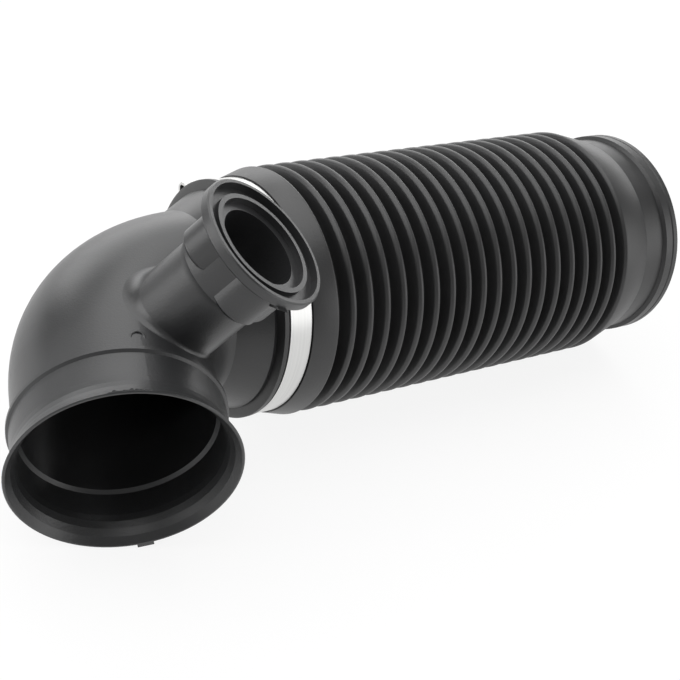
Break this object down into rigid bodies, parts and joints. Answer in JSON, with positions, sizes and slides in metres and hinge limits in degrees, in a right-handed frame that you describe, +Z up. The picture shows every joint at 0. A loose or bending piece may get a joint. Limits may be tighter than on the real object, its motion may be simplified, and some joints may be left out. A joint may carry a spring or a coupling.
{
  "type": "air intake hose",
  "caption": "Ribbed rubber air intake hose clamped onto a moulded elbow with a flared socket mouth and an angled branch port.",
  "frame": {"origin": "centre of the hose's free end face, where its bore opens", "axes": "+X along the ribbed hose, out of its free end; +Z up as the part lies on a bench, with the elbow's mouth turned towards -Y"},
  "size_m": [0.3297, 0.1345, 0.1296],
  "materials": {
    "elbow_plastic": "satin moulded black",
    "hose_rubber": "satin black rubber",
    "clamp_steel": "bright rolled strip"
  },
  "bodies": {
    "root": {"intake_elbow": "elbow_plastic", "bellows_hose": "hose_rubber", "hose_clamp": "clamp_steel"}
  },
  "joints": []
}
